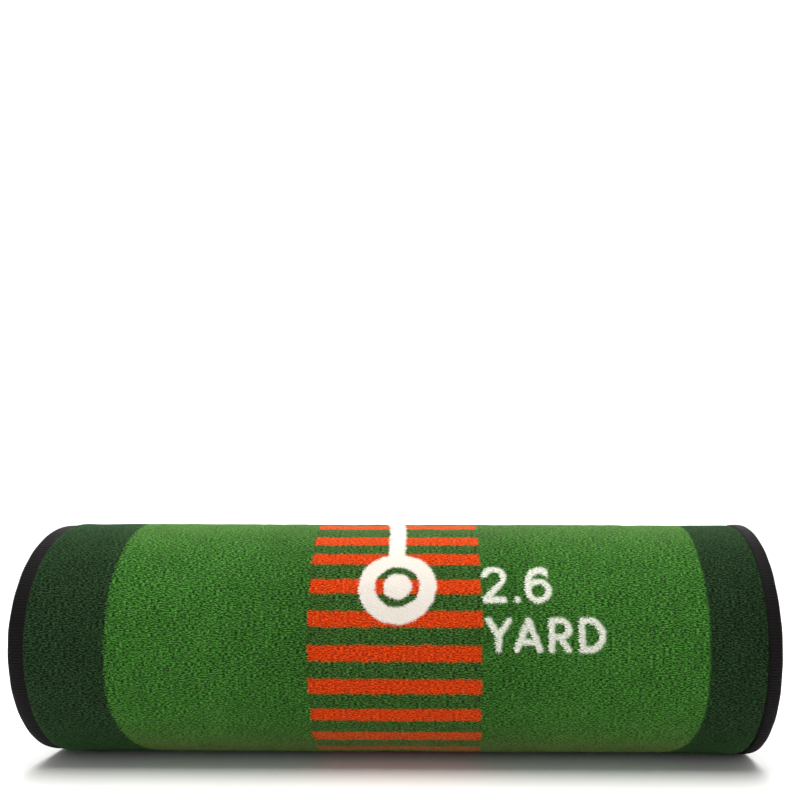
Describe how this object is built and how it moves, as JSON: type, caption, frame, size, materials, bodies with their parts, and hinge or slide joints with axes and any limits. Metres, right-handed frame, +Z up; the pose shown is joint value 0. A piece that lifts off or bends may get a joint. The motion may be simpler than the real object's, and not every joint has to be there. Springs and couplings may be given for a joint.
{
  "type": "practice putting mat",
  "caption": "Practice putting mat rolled up with its printed green pile outward, serged black edges, and a tail end that unrolls flat on the floor.",
  "frame": {"origin": "centre of the rolled mat's footprint on the floor, below the middle of its width", "axes": "+X along the roll's centre line, across the mat; the print faces -Y; +Y is where the tail end unrolls; +Z up"},
  "size_m": [0.5, 0.1678, 0.1642],
  "materials": {
    "printed_pile": "short dense plush pile printed in two greens with orange-red stripes, a white target and line; soft sheen",
    "base_cloth": "plain knitted ground cloth, matt",
    "rubber_backing": "black foamed rubber, finely textured, matt",
    "binding_yarn": "black serging yarn, ribbed across the edge, matt"
  },
  "bodies": {
    "roll": {"pile_roll": "printed_pile", "base_cloth_roll": "base_cloth", "rubber_roll": "rubber_backing", "left_binding_roll": "binding_yarn", "right_binding_roll": "binding_yarn", "core_end_binding": "binding_yarn"},
    "flap_1": {"pile_flap_1": "printed_pile", "base_cloth_flap_1": "base_cloth", "rubber_flap_1": "rubber_backing", "left_binding_flap_1": "binding_yarn", "right_binding_flap_1": "binding_yarn"},
    "flap_2": {"pile_flap_2": "printed_pile", "base_cloth_flap_2": "base_cloth", "rubber_flap_2": "rubber_backing", "left_binding_flap_2": "binding_yarn", "right_binding_flap_2": "binding_yarn"},
    "flap_3": {"pile_flap_3": "printed_pile", "base_cloth_flap_3": "base_cloth", "rubber_flap_3": "rubber_backing", "left_binding_flap_3": "binding_yarn", "right_binding_flap_3": "binding_yarn"},
    "flap_4": {"pile_flap_4": "printed_pile", "base_cloth_flap_4": "base_cloth", "rubber_flap_4": "rubber_backing", "left_binding_flap_4": "binding_yarn", "right_binding_flap_4": "binding_yarn"},
    "flap_5": {"pile_flap_5": "printed_pile", "base_cloth_flap_5": "base_cloth", "rubber_flap_5": "rubber_backing", "left_binding_flap_5": "binding_yarn", "right_binding_flap_5": "binding_yarn", "tail_end_binding": "binding_yarn"}
  },
  "joints": [
    {"name": "flap_1_bend", "type": "hinge", "parent": "roll", "child": "flap_1", "pos_m": [0, 0.01266, 0], "axis": [-1, 0, 0], "range_deg": [0, 18]},
    {"name": "flap_2_bend", "type": "hinge", "parent": "flap_1", "child": "flap_2", "pos_m": [0, 0.03804, 0.00825], "axis": [-1, 0, 0], "range_deg": [0, 18]},
    {"name": "flap_3_bend", "type": "hinge", "parent": "flap_2", "child": "flap_3", "pos_m": [0, 0.05971, 0.02399], "axis": [-1, 0, 0], "range_deg": [0, 18]},
    {"name": "flap_4_bend", "type": "hinge", "parent": "flap_3", "child": "flap_4", "pos_m": [0, 0.07552, 0.04576], "axis": [-1, 0, 0], "range_deg": [0, 18]},
    {"name": "flap_5_bend", "type": "hinge", "parent": "flap_4", "child": "flap_5", "pos_m": [0, 0.08386, 0.07145], "axis": [-1, 0, 0], "range_deg": [0, 18]}
  ],
  "couplings": [
    {"joint": "flap_2_bend", "follows": "flap_1_bend", "ratio": 1},
    {"joint": "flap_3_bend", "follows": "flap_1_bend", "ratio": 1},
    {"joint": "flap_4_bend", "follows": "flap_1_bend", "ratio": 1},
    {"joint": "flap_5_bend", "follows": "flap_1_bend", "ratio": 1}
  ]
}
